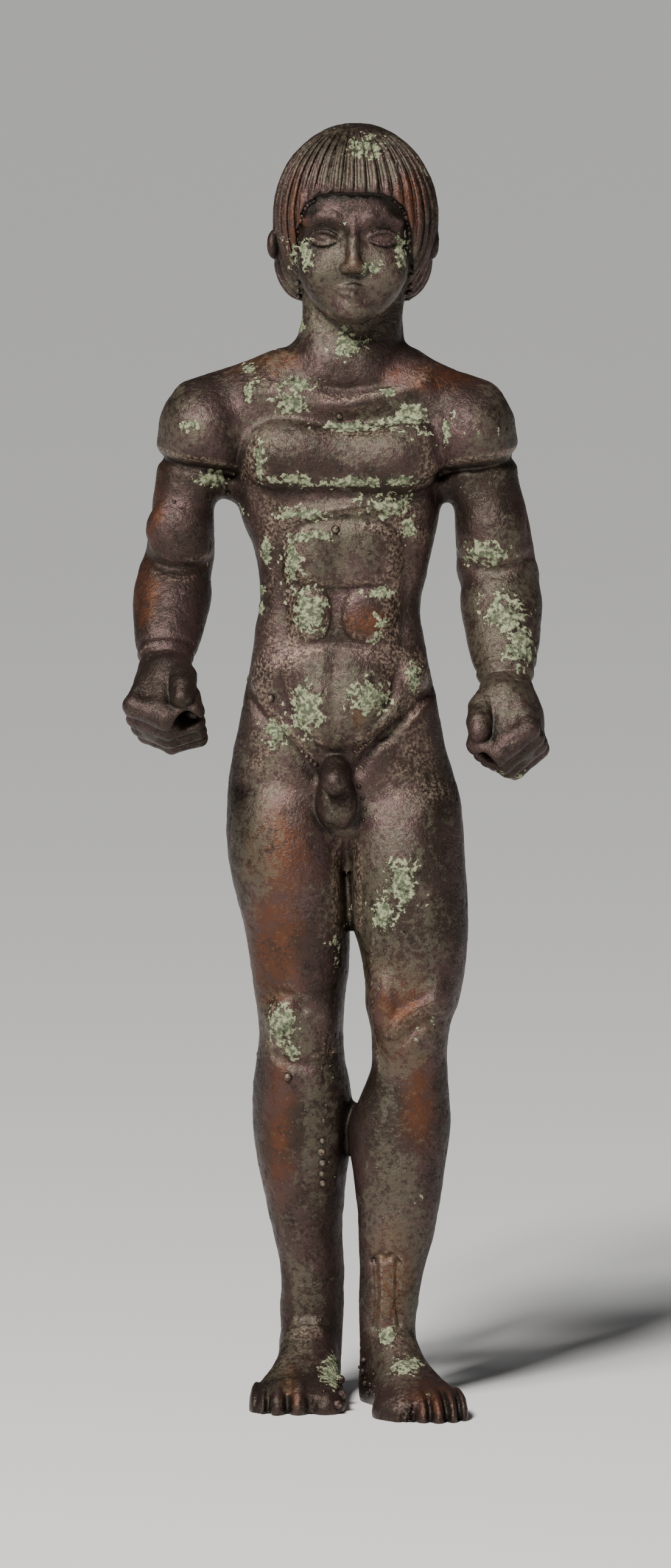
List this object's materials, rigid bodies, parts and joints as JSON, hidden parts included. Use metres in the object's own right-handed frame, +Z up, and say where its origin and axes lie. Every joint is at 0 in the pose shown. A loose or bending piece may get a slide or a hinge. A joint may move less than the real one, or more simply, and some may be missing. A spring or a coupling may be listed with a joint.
{
  "type": "kouros statuette",
  "caption": "Standing nude youth in the archaic style, cast in one piece, one foot forward, arms bent with closed fists.",
  "frame": {"origin": "centre of the figure's bounding box in plan, on the plane of the soles", "axes": "+Z up through the figure, -Y the way it faces, +X its own left"},
  "size_m": [0.0695, 0.0432, 0.2108],
  "materials": {
    "bronze": "satin, patinated"
  },
  "bodies": {
    "root": {"kouros_figure": "bronze"}
  },
  "joints": []
}
